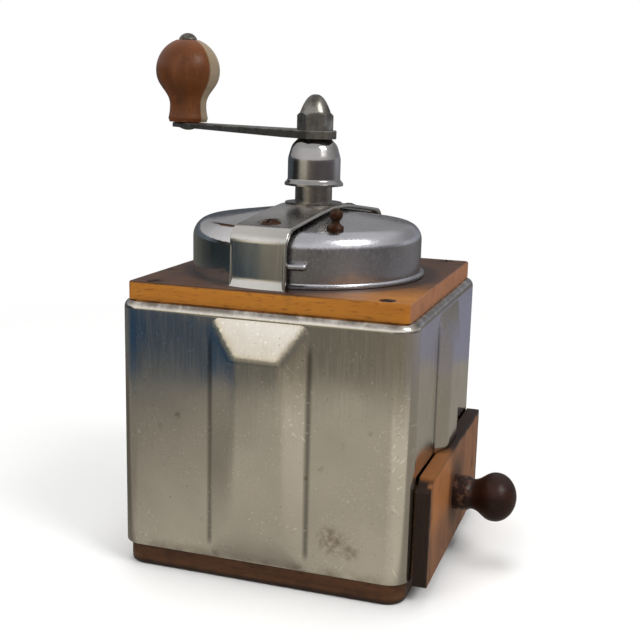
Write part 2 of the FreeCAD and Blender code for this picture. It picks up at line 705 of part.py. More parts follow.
def make_crank_arm():
    hub = ARM_HUB_HALF - ARM_HUB_CLIP
    tip = ARM_TIP_HALF - ARM_TIP_CLIP
    tip_end = ARM_LENGTH + ARM_TIP_END
    half = [(-ARM_HUB_END, hub), (-ARM_HUB_END + ARM_HUB_CLIP, ARM_HUB_HALF),
            (ARM_HUB_END, ARM_HUB_HALF, ARM_SIDE_ROUND),
            (tip_end - ARM_TIP_CLIP, ARM_TIP_HALF, ARM_TIP_ROUND),
            (tip_end, tip, ARM_TIP_ROUND)]
    mirrored = [(point[0], -point[1]) + tuple(point[2:]) for point in half[::-1]]
    arm = prism(half + mirrored, ARM_BOTTOM, ARM_TOP)
    arm = arm.makeFillet(ARM_EDGE_ROUND, edges_at_height(arm, ARM_TOP))
    side = SHAFT_SQUARE / 2 + SEAT_FIT
    arm = arm.cut(box(-side, side, -side, side, ARM_BOTTOM - 1, ARM_TOP + 1))
    arm = arm.cut(cylinder(SPINDLE_RADIUS + SEAT_FIT, ARM_BOTTOM - 1, ARM_TOP + 1, ARM_LENGTH))
    under = [(ARM_HUB_END, ARM_BOTTOM), (tip_end + 1, ARM_BOTTOM), (tip_end + 1, arm_underside(tip_end + 1))]
    wedge = Part.Face(rounded_wire(under, upright)).extrude(Vector(0, 4 * ARM_HUB_HALF, 0))
    arm = arm.cut(moved(wedge, 0, -2 * ARM_HUB_HALF, 0))
    return turned(arm, ARM_ANGLE)


def arm_underside(distance):
    """The arm is drawn out thinner from below towards the knob."""
    share = (distance - ARM_HUB_END) / (ARM_LENGTH - ARM_HUB_END)
    return ARM_BOTTOM + share * (ARM_THICK - ARM_TIP_THICK)


def make_acorn_nut():
    hex_top = ARM_TOP + NUT_HEX_HEIGHT
    corner = NUT_FLATS / math.sqrt(3)
    body = prism(hexagon(NUT_FLATS), ARM_TOP, hex_top)
    skirt = corner - NUT_CAP_RADIUS
    body = body.common(revolve([(0, ARM_TOP), (corner, ARM_TOP), (corner, hex_top - skirt),
                                (NUT_CAP_RADIUS, hex_top), (0, hex_top)]))
    tip = hex_top + NUT_CAP_HEIGHT
    cap = revolve([(0, hex_top), (NUT_CAP_RADIUS, hex_top), (NUT_CAP_RADIUS * 0.72, hex_top + 0.55 * NUT_CAP_HEIGHT,
                   14.0), (NUT_CAP_RADIUS * 0.36, tip, NUT_TIP_ROUND * 0.5), (0, tip)])
    nut = body.fuse(cap).cut(cylinder(SHAFT_STUD + SEAT_FIT, ARM_TOP - 1, ARM_TOP + NUT_BORE_DEPTH))
    return turned(nut, NUT_ANGLE)


def at_knob(shape):
    return turned(moved(shape, ARM_LENGTH, 0, 0), ARM_ANGLE)


def knob_height():
    return KNOB_BALL_HEIGHT + math.sqrt(KNOB_BALL ** 2 - KNOB_TOP ** 2)


def make_crank_knob():
    """The turned handle: a flared foot, a waist and a ball, open along its axis for the spindle."""
    bore = SPINDLE_RADIUS + KNOB_FIT
    shoulder = KNOB_BALL * math.sqrt(0.5)
    ball = Part.Arc(upright(KNOB_BALL, KNOB_BALL_HEIGHT), upright(shoulder, KNOB_BALL_HEIGHT + shoulder),
                    upright(KNOB_TOP, knob_height())).toShape()
    half_way = (KNOB_FOOT_HEIGHT + KNOB_NECK_HEIGHT) / 2
    flare = bezier([(KNOB_FOOT, KNOB_FOOT_HEIGHT), (KNOB_NECK, half_way), (KNOB_NECK, KNOB_NECK_HEIGHT)])
    foot = [(KNOB_TOP, knob_height()), (bore, knob_height()), (bore, 0), (KNOB_FOOT - 0.6, 0),
            (KNOB_FOOT, KNOB_FOOT_HEIGHT)]
    knob = turned_piece([flare, swell(KNOB_NECK, KNOB_NECK_HEIGHT, KNOB_BALL, KNOB_BALL_HEIGHT), ball], foot)
    return at_knob(moved(knob, 0, 0, ARM_TOP + KNOB_PLAY))


def make_knob_spindle():
    head = ARM_TOP + KNOB_PLAY + knob_height() + KNOB_PLAY
    low = arm_underside(ARM_LENGTH - SPINDLE_HEAD)
    pin = cylinder(SPINDLE_RADIUS, low, head).fuse(dome_head(SPINDLE_HEAD, SPINDLE_HEAD_HEIGHT, head))
    peen = dome_head(SPINDLE_HEAD, SPINDLE_PEEN_HEIGHT, 0)
    peen.rotate(ORIGIN, Vector(1, 0, 0), 180)
    return at_knob(pin.fuse(moved(peen, 0, 0, low)))


# Mill

def star(teeth, root, tip, height, turn):
    """One level of a toothed cone: a sharp tip and a flat root for each tooth."""
    points = []
    for tooth in range(teeth):
        for radius, share in ((tip, 0.0), (root, 0.4), (root, 0.75)):
            angle = math.radians(turn + 360 * (tooth + share) / teeth)
            points.append(Vector(radius * math.cos(angle), radius * math.sin(angle), height))
    return Part.makePolygon(points + points[:1])


def mill_screw_places():
    turns = [math.radians(90 * step) for step in range(4)]
    return [(MILL_SCREW_CIRCLE * math.cos(turn), MILL_SCREW_CIRCLE * math.sin(turn)) for turn in turns]


def make_mill_ring():
    """The fixed ring: a flange, a feed throat and slanting inner teeth that close in towards the exit."""
    throat = MILL_TOP - MILL_THROAT_DEPTH
    ring = revolve([(0, MILL_BOTTOM), (MILL_BODY, MILL_BOTTOM, MILL_EDGE_ROUND),
                    (MILL_BODY, BRIDGE_FOOT, MILL_EDGE_ROUND),
                    (MILL_FLANGE, BRIDGE_FOOT), (MILL_FLANGE, MILL_TOP), (0, MILL_TOP)])
    ring = ring.cut(revolve([(0, throat), (MILL_TOP_ROOT, throat), (FEED_HOLE, MILL_TOP), (0, MILL_TOP)]))
    teeth = Part.makeLoft([star(MILL_TEETH, MILL_EXIT_TIP, MILL_EXIT_ROOT, MILL_BOTTOM, 0),
                           star(MILL_TEETH, MILL_TOP_TIP, MILL_TOP_ROOT, throat, MILL_TWIST)], True, True)
    ring = ring.cut(teeth)
    for x, y in mill_screw_places():
        ring = ring.cut(cylinder(MILL_SCREW + SCREW_FIT, BRIDGE_FOOT - 1, MILL_TOP + 1, x, y))
    return ring


def make_mill_cone():
    """The turning cone: coarse breaking teeth at the top that end fine at the exit."""
    teeth = Part.makeLoft([star(BURR_TEETH, BURR_EXIT_ROOT, BURR_EXIT_TIP, BURR_BOTTOM, 0),
                           star(BURR_TEETH, BURR_TOP_ROOT, BURR_TOP_TIP, BURR_TOP, BURR_TWIST)], True, True)
    return teeth.cut(cylinder(SHAFT_RADIUS + SEAT_FIT, BURR_BOTTOM - 1, BURR_TOP + 1))


def make_cone_nut():
    nut = prism(hexagon(BURR_NUT_FLATS), BURR_BOTTOM - BURR_NUT_HEIGHT, BURR_BOTTOM)
    return nut.cut(cylinder(SHAFT_JOURNAL + SEAT_FIT, 0, MILL_TOP))


def make_mill_bridge():
    """A bent steel strip under the mill whose bush carries the shaft's lower end."""
    half = BRIDGE_WIDTH / 2
    foot = BRIDGE_FOOT - BRIDGE_THICK
    low = BRIDGE_TOP - BRIDGE_THICK
    strip = box(-BRIDGE_REACH, BRIDGE_REACH, -half, half, low, BRIDGE_TOP)
    for side in (0, 180):
        leg = box(BRIDGE_REACH - BRIDGE_THICK, BRIDGE_REACH, -half, half, low, BRIDGE_FOOT)
        shoe = box(BRIDGE_REACH - BRIDGE_THICK, MILL_FLANGE + 1, -half, half, foot, BRIDGE_FOOT)
        strip = strip.fuse([turned(leg, side), turned(shoe, side)])
    strip = strip.fuse(cylinder(BRIDGE_BUSH, BRIDGE_TOP - BRIDGE_BUSH_HEIGHT, BRIDGE_TOP)).removeSplitter()
    strip = strip.cut(cylinder(SHAFT_JOURNAL + RUNNING_FIT, low - BRIDGE_BUSH_HEIGHT, BRIDGE_TOP + 1))
    for x, y in mill_screw_places():
        strip = strip.cut(cylinder(MILL_SCREW + SCREW_FIT, foot - 1, BRIDGE_FOOT + 1, x, y))
    return strip


def make_mill_screws():
    screws = []
    for x, y in mill_screw_places():
        seat = BRIDGE_FOOT - BRIDGE_THICK if abs(y) < 1 else BRIDGE_FOOT
        screw = cylinder(MILL_SCREW, seat, CASE_TOP + MILL_SCREW_BITE, x, y)
        screws.append(screw.fuse(cylinder(MILL_SCREW_HEAD, seat - MILL_SCREW_HEAD_HEIGHT, seat, x, y)))
    return Part.makeCompound(screws)


# Drawer

def make_drawer_front():
    """A board that stands before the sleeve, with one top corner taken off."""
    top = FRONT_BOTTOM + FRONT_HEIGHT
    outline = [(-FRONT_HALF, FRONT_BOTTOM, FRONT_ROUND), (FRONT_HALF, FRONT_BOTTOM, FRONT_ROUND),
               (FRONT_HALF, top, FRONT_ROUND), (-FRONT_HALF + FRONT_CLIP_WIDTH, top, FRONT_ROUND),
               (-FRONT_HALF, top - FRONT_CLIP_HEIGHT, FRONT_ROUND)]
    face = Part.Face(rounded_wire(outline, upright))
    front = face.extrude(Vector(0, FRONT_THICK, 0))
    front.translate(Vector(0, FRONT_FACE, 0))
    return front.cut(along_pull(cylinder(PULL_SCREW + SCREW_FIT, -FRONT_THICK - 1, 1)))


def make_drawer_side(direction):
    inner = DRAWER_HALF - DRAWER_WOOD
    low, high = sorted((direction * DRAWER_HALF, direction * inner))
    return box(low, high, FRONT_BACK, DRAWER_END, DRAWER_FLOOR, DRAWER_TOP)


def make_drawer_back():
    inner = DRAWER_HALF - DRAWER_WOOD
    return box(-inner, inner, DRAWER_END - DRAWER_WOOD, DRAWER_END, DRAWER_FLOOR, DRAWER_TOP)


def make_drawer_bottom():
    inner = DRAWER_HALF - DRAWER_WOOD
    low = DRAWER_FLOOR + DRAWER_BOTTOM_LIFT
    return box(-inner, inner, FRONT_BACK, DRAWER_END - DRAWER_WOOD, low, DRAWER_BOTTOM_TOP)


def along_pull(shape):
    """Lays a piece made along +Z out of the drawer's face."""
    copy = shape.copy()
    copy.rotate(ORIGIN, Vector(1, 0, 0), 90)
    copy.translate(Vector(0, FRONT_FACE, PULL_HEIGHT))
    return copy


def make_drawer_knob():
    foot = [(0, PULL_LENGTH), (0, 0), (PULL_COLLAR, 0), (PULL_COLLAR, PULL_COLLAR_LENGTH),
            (PULL_NECK, PULL_NECK_HEIGHT)]
    rise = PULL_LENGTH - PULL_BALL_HEIGHT
    crown = bezier([(PULL_BALL, PULL_BALL_HEIGHT), (PULL_BALL, PULL_BALL_HEIGHT + ROUND_PULL * rise),
                    (PULL_BALL * ROUND_PULL, PULL_LENGTH), (0, PULL_LENGTH)])
    throat = swell(PULL_NECK, PULL_NECK_HEIGHT, PULL_BALL, PULL_BALL_HEIGHT)
    knob = turned_piece([throat, crown], foot)
    return along_pull(knob.cut(cylinder(PULL_SCREW + SEAT_FIT, -1, PULL_SCREW_DEPTH)))


def make_drawer_knob_screw():
    head = -FRONT_THICK - PULL_SCREW_HEAD_HEIGHT
    screw = cylinder(PULL_SCREW, -FRONT_THICK, PULL_SCREW_DEPTH - 0.5)
    return along_pull(screw.fuse(cylinder(PULL_SCREW_HEAD, head, -FRONT_THICK)))


PIECES = {
    "base_plate": make_base_plate,
    "base_screws": make_base_screws,
    "body_shell": make_body_shell,
    "case_left_board": lambda: make_case_side(1),
    "case_right_board": lambda: make_case_side(3),
    "case_back_board": make_case_back,
    "case_front_rail": make_case_front_rail,
    "top_plate": make_top_plate,
    "top_plate_screws": make_top_plate_screws,
    "hopper_shell": make_hopper_shell,
    "bridge_strap": make_bridge_strap,
    "strap_screws": make_strap_screws,
    "bearing_column": make_bearing_column,
    "column_nut": make_column_nut,
    "mill_ring": make_mill_ring,
    "mill_bridge": make_mill_bridge,
    "mill_screws": make_mill_screws,
    "hopper_door": make_hopper_door,
    "door_knob": make_door_knob,
    "door_stop_peg": make_door_stop_peg,
    "crank_shaft": make_crank_shaft,
    "mill_cone": make_mill_cone,
    "cone_nut": make_cone_nut,
    "bell_cap": make_bell_cap,
    "crank_arm": make_crank_arm,
    "acorn_nut": make_acorn_nut,
    "knob_spindle": make_knob_spindle,
    "crank_knob": make_crank_knob,
    "drawer_front": make_drawer_front,
    "drawer_left_side": lambda: make_drawer_side(-1),
    "drawer_right_side": lambda: make_drawer_side(1),
    "drawer_back": make_drawer_back,
    "drawer_bottom": make_drawer_bottom,
    "drawer_knob": make_drawer_knob,
    "drawer_knob_screw": make_drawer_knob_screw,
}


def main():
    os.makedirs("parts", exist_ok=True)
    for name, make in PIECES.items():
        shape = make()
        shape.exportStep("parts/" + name + ".step")
        print(name, "solids", len(shape.Solids), "valid", shape.isValid(), "volume", round(shape.Volume, 1))


main()
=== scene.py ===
import json
import math

import bmesh
import bpy
from mathutils import Matrix, Vector


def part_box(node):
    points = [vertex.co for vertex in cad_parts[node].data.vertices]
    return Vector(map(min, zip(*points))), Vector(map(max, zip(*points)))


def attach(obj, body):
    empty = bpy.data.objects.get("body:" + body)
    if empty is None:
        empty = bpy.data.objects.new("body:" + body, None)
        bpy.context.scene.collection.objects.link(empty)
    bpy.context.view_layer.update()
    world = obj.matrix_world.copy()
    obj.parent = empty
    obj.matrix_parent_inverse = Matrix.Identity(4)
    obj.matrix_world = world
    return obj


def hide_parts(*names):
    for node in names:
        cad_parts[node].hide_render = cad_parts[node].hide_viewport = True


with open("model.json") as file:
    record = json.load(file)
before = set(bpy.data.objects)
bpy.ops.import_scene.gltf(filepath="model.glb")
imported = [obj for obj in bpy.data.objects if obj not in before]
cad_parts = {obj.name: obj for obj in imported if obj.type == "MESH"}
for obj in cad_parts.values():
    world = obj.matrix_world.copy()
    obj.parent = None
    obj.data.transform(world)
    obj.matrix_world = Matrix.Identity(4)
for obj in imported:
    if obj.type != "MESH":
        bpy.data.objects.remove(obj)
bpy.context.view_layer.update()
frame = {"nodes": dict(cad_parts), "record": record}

# Looks of a hand crank coffee grinder: worn nickel sheet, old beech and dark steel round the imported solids.
# Metres, in the frame of the solids: the drawer faces -Y, and the wide face seen in the picture is -X.

MM = 0.001

# The picture's camera, as fitted to the object
IMAGE_SIDE = 640
FOCAL_PIXELS = 1053.73
SENSOR_WIDTH = 36.0
VIEW_AZIMUTH = math.radians(-71.97)
VIEW_ELEVATION = math.radians(12.04)
VIEW_ROLL = math.radians(1.43)
VIEW_DISTANCE = 461.13 * MM
VIEW_AIM_RIGHT = 4.09 * MM
VIEW_AIM_HEIGHT = 97.66 * MM

# Places read from the solids, in millimetres
PLATE_LOW, PLATE_HIGH = (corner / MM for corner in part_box("top_plate"))
BASE_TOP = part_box("base_plate")[1].z / MM
SLEEVE_LOW, SLEEVE_HIGH = (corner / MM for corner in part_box("body_shell"))
FRONT_LOW, FRONT_HIGH = (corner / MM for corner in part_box("drawer_front"))
PULL_LOW, PULL_HIGH = (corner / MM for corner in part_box("drawer_knob"))
KNOB_LOW, KNOB_HIGH = (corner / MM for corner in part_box("crank_knob"))
DOME_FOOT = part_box("hopper_shell")[0].z / MM

# Sizes of the patterns in nickel plate, bare steel and beech, in millimetres. The rubbing, the scratches and the
# fibres are finer on the real thing, and are drawn as coarse as they need to show
RUB_WIDTH = 0.8
FOG_PATCH = 26.0
THIN_PLATE = 7.0
PLATE_PIT = 1.1
PRESS_WAVE = 34.0
STEEL_FILM = 5.0
RUST_SPECK = 2.2
STEEL_PIT = 0.7
BEECH_BAND = 7.0
BEECH_FIBRE = 0.9
BEECH_DASH = 0.75
BEECH_DIRT = 12.0
BEECH_GLOSS = 0.16

# Wear and painted shade on the sleeve, in millimetres: painted shade in the creases beside each band, and stains on
# the -X face (y, z, size, share)
SLEEVE_FACE = 61.3
CREASE_AT = 20.5
CREASE_WIDTH = 1.8
CREASE_FOOT = 13.0
CREASE_TOP = 104.0
CREASE_FADE = (5.0, 8.0)
FOLD_DEPTH = 2.5
FOLD_LIP = 0.8
FOLD_PATCH = 6.0
FOOT_SOIL = 5.0
FOOT_PATCH = 9.0
STAIN_GRAIN = 2.4
SLEEVE_STAINS = ((-31.0, 24.3, 8.0, 0.6), (0.1, 39.6, 5.0, 0.6), (-20.0, 48.7, 1.3, 1.0), (34.8, 67.5, 2.0, 0.5),
                 (7.6, 61.8, 3.0, 0.5), (-38.8, 21.1, 5.0, 0.45))
SCRATCH_WIDTH = 0.9
SCRATCH_DRAWN_OUT = (1.0, 1.0, 0.03)
SCRATCH_LEANS = ((0.45, 0.2), (-0.7, 0.6), (1.3, 0.9))
HANDLED_PATCH = 24.0

# Wear on the wood, with grime and painted shade round the dome and under the sleeve, in millimetres. A pair is where
# a mark begins and where it is full, or, about a point, how far it is full and where it ends
TOP_SKIN = (0.9, 0.2)
VARNISHED_CORNER = (8.0, 50.0)
DOME_GRIME_AND_SHADE = (52.0, 57.0)
FADED_EDGE = (0.8, 0.2)
BARE_PATCH = 16.0
FOOT_GRIME = (3.2, 1.2)
JOINT_GRIME_AND_SHADE = (1.3, 0.5)
RAGGED_DEPTH = 2.2
RAGGED_CHIP = 5.0
RIM_GRIME = 2.0
UPPER_GRIME = 1.5
BEHIND_FACE = (1.0, 2.0)
PATCH_X = ((-49.4, -46.4), (-5.7, -19.7))
PATCH_Z = ((19.9, 33.9), (56.9, 50.9))
PULL_SOIL = (9.0, 19.0)
COLLAR_LENGTH = 9.0
COLLAR_FADE = 3.0
COLLAR_RUB = 2.6

# The painted highlight on the crank's knob, a pale strip, as shares of a turn
STRIP_START = (0.190, 0.205)
STRIP_END = (0.47, 0.44)
STRIP_WOBBLE = 0.02
STRIP_GRAIN = 6.0

# The strap over the dome and its rolled edges
STRAP_ANGLE = math.radians(-6.0)
STRAP_HALF = 12.0 * MM
STRAP_FOOT = 3.5 * MM
EDGE_RADIUS = 0.75 * MM
EDGE_INSET = 0.35 * MM
EDGE_SIDES = 16

# The acorn nut's rounded cap, on the crank's axis
CAP_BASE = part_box("acorn_nut")[0].z + 7.4 * MM
CAP_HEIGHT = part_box("acorn_nut")[1].z - CAP_BASE
CAP_RADIUS = 6.45 * MM
CAP_BELLY = 0.42
CAP_RINGS = 14
CAP_SIDES = 40
CAP_SINK = 0.3 * MM
CAP_CORE = 0.85

SHARP_ANGLE = math.radians(32)
JOIN_DISTANCE = 0.002 * MM
SAME_PLACE = 0.05 * MM

# The studio: floor, lamps as (name, place, size, power), and cards that only reflections see. A ring's colours go
# by shares of a turn. The light of the table and the tent's sides goes by (start, end, light at start, light at end)
FLOOR_RADIUS = 6.0
FLOOR_FADE = (0.34, 0.62)
SKY_LIGHT = 0.42
LAMPS = (("key_lamp", (-0.4, -1.0, 1.1), 0.6, 11.0), ("fill_lamp", (-0.9, 0.3, 0.8), 0.8, 5.0),
         ("top_lamp", (0.3, 0.1, 1.4), 0.8, 9.0))
GLINT_LAMP = "key_lamp"
LAMP_AIM = (0, 0, 0.1)
PANEL_COUNT = 72
TABLE_LIFT = 0.4 * MM
TABLE_GAP = 0.0628
TABLE_COLOUR = "#BCB7AD"
TABLE_RIGHT = (-0.10, -0.01, 1.45, 1.05)
TABLE_LEFT = (0.04, 0.15, 0.0, -0.45)
TABLE_DEPTH = (-0.085, -0.060, 1.0, 0.45)
RING_RADIUS = 0.36
RING_HEIGHT = 0.13
RING_RAGGED = 0.07
RING_PATCH = 70.0
RING_SPLIT = (62.0, 78.0)
RING_COLOURS = ((0.00, "#857F74"), (0.10, "#8A8378"), (0.30, "#9C98A0"), (0.46, "#8A8CA2"), (0.56, "#46433F"),
                (0.66, "#6A665F"), (0.76, "#6C6E74"), (0.84, "#2C4A68"), (0.912, "#1C4064"), (0.935, "#5A5E5C"),
                (1.00, "#857F74"))
UPPER_RING_COLOURS = ((0.00, "#8C8A86"), (0.05, "#5E5C5A"), (0.14, "#8E8C8B"), (0.25, "#625F5E"), (0.38, "#94928F"),
                      (0.50, "#4A4846"), (0.66, "#6A6C66"), (0.76, "#2A3436"), (0.86, "#3A4446"), (0.90, "#6A7272"),
                      (0.94, "#9A9588"), (1.00, "#A09A8C"))
FAR_RING_RADIUS = 0.9
FAR_RING_HEIGHT = 0.30
FAR_RING_LIGHT = 1.2
FAR_RING_COLOURS = ((0.00, "#8E867E"), (0.10, "#6E686A"), (0.22, "#7A747A"), (0.30, "#8A8690"), (0.36, "#D0D2DC"),
                    (0.46, "#9CA0AC"), (0.52, "#3A3A3C"), (0.64, "#5A626C"), (0.74, "#6C7680"), (0.79, "#2A2826"),
                    (0.84, "#4A4640"), (0.89, "#FFF8E8"), (0.95, "#FFF8E8"), (0.975, "#B8B0A2"), (1.00, "#8E867E"))
TENT_RADIUS = 3.0
TENT_COLOUR = "#FAFAFF"
TENT_SIDES = (-0.7, 0.8, 1.4, 0.42)
TENT_OVERHEAD = (0.45, 0.8)


def linear(code):
    """An sRGB hex colour as linear RGBA."""
    channels = [int(code[i:i + 2], 16) / 255 for i in (1, 3, 5)]
    return tuple(c / 12.92 if c <= 0.04045 else ((c + 0.055) / 1.055) ** 2.4 for c in channels) + (1.0,)


def add(tree, kind, inputs=None, stops=(), **settings):
    """Adds a node, sets its fields and its colour stops, and sets or links its inputs."""
    node = tree.nodes.new(kind)
    for name, value in settings.items():
        setattr(node, name, value)
    for index, (position, code) in enumerate(stops):
        points = node.color_ramp.elements
        point = points[index] if index < len(points) else points.new(position)
        point.position = position
        point.color = linear(code)
    for key, value in (inputs or {}).items():
        if isinstance(value, bpy.types.NodeSocket):
            tree.links.new(value, node.inputs[key])
        else:
            node.inputs[key].default_value = linear(value) if isinstance(value, str) else value
    return node


def new_finish(name, metallic=0.0, **fixed):
    """A material with its own shader, and the tree, shader and place to build on."""
    material = bpy.data.materials.new(name)
    material.use_nodes = True
    tree = material.node_tree
    tree.nodes.clear()
    shader = add(tree, "ShaderNodeBsdfPrincipled", {"Metallic": metallic, **fixed})
    add(tree, "ShaderNodeOutputMaterial", {"Surface": shader.outputs["BSDF"]})
    place = add(tree, "ShaderNodeTexCoord").outputs["Object"]
    return material, tree, shader, place


def spots(tree, place, size, low, high, stretch=(1, 1, 1), detail=3.0, shift=(0, 0, 0), turn=(0, 0, 0)):
    """A mask of soft patches of a real size in millimetres, stretched along an axis, and turned where wanted."""
    if any(turn):
        place = add(tree, "ShaderNodeMapping", {"Vector": place, "Rotation": turn}).outputs[0]
    laid = add(tree, "ShaderNodeMapping", {"Vector": place, "Scale": stretch, "Location": shift})
    noise = add(tree, "ShaderNodeTexNoise", {"Vector": laid.outputs[0], "Scale": 1 / (size * MM), "Detail": detail})
    step = add(tree, "ShaderNodeMapRange", {"Value": noise.outputs["Fac"], "From Min": low, "From Max": high})
    return step.outputs["Result"]


def past(tree, value, start, end):
    """A mask that goes from 0 at one place to 1 at another, both in millimetres."""
    return add(tree, "ShaderNodeMapRange", {"Value": value, "From Min": start * MM, "From Max": end * MM},
               interpolation_type="SMOOTHSTEP").outputs["Result"]


def near(tree, place, centre, inner, outer):
    """A mask of what lies within a distance of a point, all in millimetres."""
    away = add(tree, "ShaderNodeVectorMath", {0: place, 1: Vector(centre) * MM}, operation="DISTANCE")
    return past(tree, away.outputs["Value"], outer, inner)


def coat(tree, under, over, *masks, share=1.0):
    """Lays one colour over another where all of the masks are, at most by a share."""
    amount, *others = masks
    for other in others + [share] * (share != 1.0):
        amount = add(tree, "ShaderNodeMath", {0: amount, 1: other}, operation="MULTIPLY").outputs[0]
    return add(tree, "ShaderNodeMix", {0: amount, 6: under, 7: over}, data_type="RGBA").outputs[2]


def dulled(tree, shader, base, layers):
    """Roughness: a base, and more of it where each layer's mask is."""
    total = base
    for mask, amount in layers:
        total = add(tree, "ShaderNodeMath", {0: mask, 1: amount, 2: total}, operation="MULTIPLY_ADD").outputs[0]
    tree.links.new(total, shader.inputs["Roughness"])


def relief(tree, shader, height, depth, strength=1.0):
    """Bump of a real depth in millimetres."""
    bump = add(tree, "ShaderNodeBump", {"Height": height, "Distance": depth * MM, "Strength": strength})
    tree.links.new(bump.outputs[0], shader.inputs["Normal"])


def turn_share(tree, place):
    """The way round the upright axis, from 0 at -180 degrees to 1 at 180."""
    x, y, _ = add(tree, "ShaderNodeSeparateXYZ", {0: place}).outputs
    turn = add(tree, "ShaderNodeMath", {0: y, 1: x}, operation="ARCTAN2").outputs[0]
    return add(tree, "ShaderNodeMapRange", {"Value": turn, "From Min": -math.pi, "From Max": math.pi}).outputs[0]


def sleeve_wear_and_shade(tree, place, colour):
    """Painted shade in the creases beside each band, grime and painted shade under the fold, fine scratches, a grubby
    foot and a few stains.
    """
    x, y, z = add(tree, "ShaderNodeSeparateXYZ", {0: place}).outputs
    # Painted shade: a dark line down the crease beside each band
    for side in (x, y):
        off = add(tree, "ShaderNodeMath", {0: side}, operation="ABSOLUTE").outputs[0]
        off = add(tree, "ShaderNodeMath", {0: off, 1: CREASE_AT * MM}, operation="SUBTRACT").outputs[0]
        off = add(tree, "ShaderNodeMath", {0: off}, operation="ABSOLUTE").outputs[0]
        colour = coat(tree, colour, "#39342E", past(tree, off, CREASE_WIDTH, 0.0),
                      past(tree, z, CREASE_TOP, CREASE_TOP - CREASE_FADE[1]),
                      past(tree, z, CREASE_FOOT, CREASE_FOOT + CREASE_FADE[0]), share=0.62)
    for lean, shift in SCRATCH_LEANS:
        scratch = spots(tree, place, SCRATCH_WIDTH, 0.73, 0.76, SCRATCH_DRAWN_OUT, 0.0, (shift, shift, shift),
                        (lean, lean, 0))
        handled = spots(tree, place, HANDLED_PATCH, 0.48, 0.60, shift=(shift, 0, 0))
        colour = coat(tree, colour, "#F2EEE4", scratch, handled, share=0.4)
    # Grime and painted shade along the top fold, where the plate's edge sits on the sleeve
    fold = past(tree, z, SLEEVE_HIGH.z - FOLD_DEPTH - FOLD_LIP, SLEEVE_HIGH.z - FOLD_LIP)
    colour = coat(tree, colour, "#4A3D2E", fold, spots(tree, place, FOLD_PATCH, 0.25, 0.55, detail=5), share=0.75)
    foot = past(tree, z, SLEEVE_LOW.z + FOOT_SOIL, SLEEVE_LOW.z)
    colour = coat(tree, colour, "#5E4C38", foot, spots(tree, place, FOOT_PATCH, 0.40, 0.66, detail=5), share=0.5)
    broken = spots(tree, place, STAIN_GRAIN, 0.36, 0.62, detail=6, shift=(0.15, 0.44, 0.27))
    for along, height, size, share in SLEEVE_STAINS:
        blot = near(tree, place, (-SLEEVE_FACE, along, height), size * 0.25, size)
        colour = coat(tree, colour, "#6B4C33", blot, broken, share=share)
    return colour


def nickel_sheet(name, bright, dull, stain, rough, streak, wave_depth, stain_from, wear_and_painted_light=None):
    """Pressed steel sheet with worn nickel plate: a grey mirror, fogged by fine rubbing along one way, with brown
    stains where the plate is thin and slow waves left by the press."""
    material, tree, shader, place = new_finish(name, metallic=1.0)
    rubbed = spots(tree, place, RUB_WIDTH, 0.30, 0.70, streak, detail=4)
    fog = spots(tree, place, FOG_PATCH, 0.35, 0.68)
    worn = spots(tree, place, THIN_PLATE, stain_from, stain_from + 0.16, detail=6, shift=(0.31, 0.12, 0.53))
    pits = spots(tree, place, PLATE_PIT, 0.70, 0.76, detail=2, shift=(0.7, 0.2, 0.4))
    colour = coat(tree, bright, dull, fog)
    colour = coat(tree, colour, stain, worn, share=0.55)
    colour = coat(tree, colour, "#3A3028", pits, share=0.5)
    if wear_and_painted_light:
        colour = wear_and_painted_light(tree, place, colour)
    tree.links.new(colour, shader.inputs["Base Color"])
    dulled(tree, shader, rough * 0.6, ((rubbed, rough * 0.45), (fog, rough * 0.35), (worn, 0.18)))
    waves = spots(tree, place, PRESS_WAVE, 0.0, 1.0, detail=1)
    surface = add(tree, "ShaderNodeMath", {0: rubbed, 1: 0.012, 2: waves}, operation="MULTIPLY_ADD").outputs[0]
    relief(tree, shader, surface, wave_depth)
    return material


def aged_steel(name, clean, dark, brown, rough, brown_from):
    """Bare steel gone dark: uneven brown film with fine pits, and a dull shine where it is handled."""
    material, tree, shader, place = new_finish(name, metallic=1.0)
    film = spots(tree, place, STEEL_FILM, 0.38, 0.62, detail=5)
    rust = spots(tree, place, RUST_SPECK, brown_from, brown_from + 0.18, detail=5, shift=(0.2, 0.6, 0.1))
    pits = spots(tree, place, STEEL_PIT, 0.72, 0.55, detail=2)
    colour = coat(tree, coat(tree, clean, dark, film), brown, rust)
    tree.links.new(colour, shader.inputs["Base Color"])
    dulled(tree, shader, rough, ((film, 0.18), (rust, 0.25)))
    relief(tree, shader, pits, 0.03, 0.5)
    return material


def plate_wear_and_shade(tree, place, colour):
    """The plate's top has lost its varnish and gone dark, least at one corner and most of all round the dome, where
    grime and painted shade darken it, and its front edge is faded."""
    _, y, z = add(tree, "ShaderNodeSeparateXYZ", {0: place}).outputs
    top = past(tree, z, PLATE_HIGH.z - TOP_SKIN[0], PLATE_HIGH.z - TOP_SKIN[1])
    patchy = spots(tree, place, BARE_PATCH, 0.25, 0.60, detail=5, shift=(0.2, 0.2, 0.2))
    kept = near(tree, place, (PLATE_LOW.x, PLATE_LOW.y, PLATE_HIGH.z), *VARNISHED_CORNER)
    lost = add(tree, "ShaderNodeMath", {0: kept, 1: -0.8, 2: 1.0}, operation="MULTIPLY_ADD").outputs[0]
    colour = coat(tree, colour, coat(tree, "#21130D", "#3B2519", patchy), top, lost, share=0.94)
    # Grime and painted shade in a ring round the dome's foot
    flat = add(tree, "ShaderNodeVectorMath", {0: place, 1: (1, 1, 0)}, operation="MULTIPLY").outputs[0]
    soiled = near(tree, flat, (0, 0, 0), *DOME_GRIME_AND_SHADE)
    colour = coat(tree, colour, "#1A100B", soiled, top, share=0.7)
    faded = past(tree, y, PLATE_LOW.y + FADED_EDGE[0], PLATE_LOW.y + FADED_EDGE[1])
    return coat(tree, colour, "#8A5C44", faded, share=0.6)


